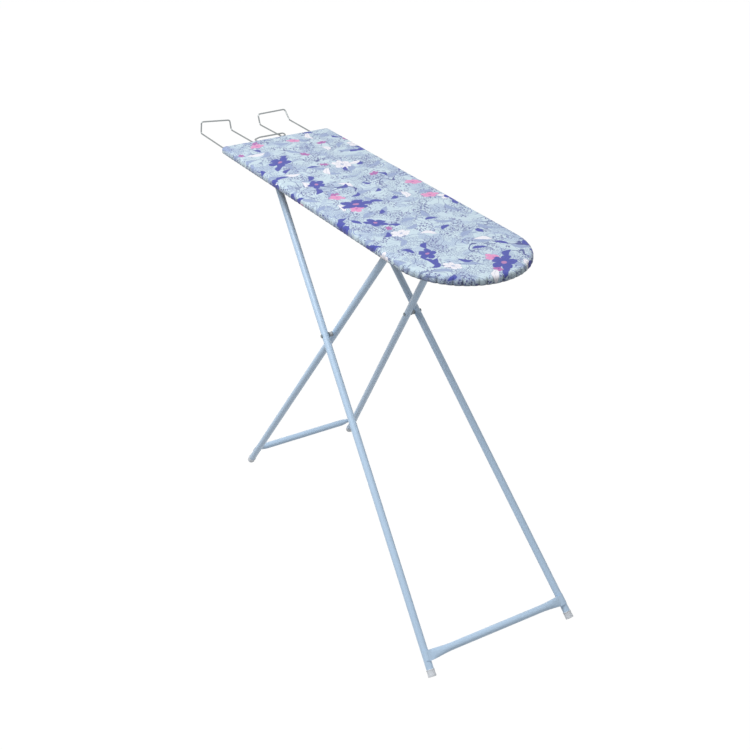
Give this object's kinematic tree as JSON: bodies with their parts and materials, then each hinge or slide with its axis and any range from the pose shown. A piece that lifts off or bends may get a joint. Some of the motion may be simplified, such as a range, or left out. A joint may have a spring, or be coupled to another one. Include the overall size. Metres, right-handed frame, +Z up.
{
  "type": "ironing board",
  "caption": "Folding ironing board: padded cloth-covered wooden board on two crossed, tapered tube leg frames, with a wire iron rest.",
  "frame": {"origin": "on the floor, under the middle of the whole object's length and width", "axes": "+X along the board towards its rounded nose, +Y to the left, +Z up"},
  "size_m": [1.2931, 0.4058, 0.9263],
  "materials": {
    "cover_cotton": "printed cotton, pale blue ground with blue, violet and pink flowers",
    "pad_foam": "open-cell foam",
    "elastic": "woven elastic cord",
    "panel_wood": "raw particle board",
    "blue_paint": "smooth pale blue paint",
    "zinc_plate": "zinc-plated stamped steel",
    "zinc_screw": "zinc-plated",
    "zinc_wire": "zinc-plated drawn wire",
    "bright_rod": "bright drawn rod",
    "dark_steel": "dark phosphated steel",
    "grey_nylon": "natural nylon",
    "clear_cap": "milky translucent vinyl"
  },
  "bodies": {
    "board": {"board_panel": "panel_wood", "foam_pad": "pad_foam", "cover": "cover_cotton", "cover_elastic": "elastic", "pivot_bracket_left": "zinc_plate", "pivot_bracket_right": "zinc_plate", "height_rack_left": "zinc_plate", "height_rack_right": "zinc_plate", "bracket_screws": "zinc_screw", "rack_screws": "zinc_screw", "rest_clips": "zinc_plate", "clip_screws": "zinc_screw"},
    "outer_legs": {"outer_leg_left": "blue_paint", "outer_leg_right": "blue_paint", "outer_foot_bar": "blue_paint", "hinge_rod": "bright_rod", "hinge_rod_caps": "dark_steel", "hinge_washers": "zinc_plate", "outer_leg_plugs": "clear_cap", "outer_foot_cap_left": "clear_cap", "outer_foot_cap_right": "clear_cap", "cross_rivet_left": "dark_steel", "cross_rivet_right": "dark_steel", "cross_spacer_left": "grey_nylon", "cross_spacer_right": "grey_nylon", "cross_washers": "dark_steel"},
    "inner_legs": {"inner_leg_left": "blue_paint", "inner_leg_right": "blue_paint", "inner_foot_bar": "blue_paint", "rack_rod": "bright_rod", "rack_rod_caps": "dark_steel", "inner_leg_plugs": "clear_cap", "inner_foot_cap_left": "clear_cap", "inner_foot_cap_right": "clear_cap"},
    "wire_rest": {"iron_rest": "zinc_wire"}
  },
  "joints": [
    {"name": "legs_fold", "type": "hinge", "parent": "board", "child": "outer_legs", "pos_m": [-0.24771, 0, 0.87608], "axis": [0, -1, 0], "range_deg": [0, 40]},
    {"name": "legs_scissor", "type": "hinge", "parent": "outer_legs", "child": "inner_legs", "pos_m": [0.05018, 0, 0.58385], "axis": [0, 1, 0], "range_deg": [0, 90]},
    {"name": "rest_slide", "type": "slide", "parent": "board", "child": "wire_rest", "axis": [1, 0, 0], "range_m": [0, 0.17]}
  ],
  "couplings": [
    {"joint": "legs_scissor", "follows": "legs_fold", "ratio": 2.25}
  ]
}
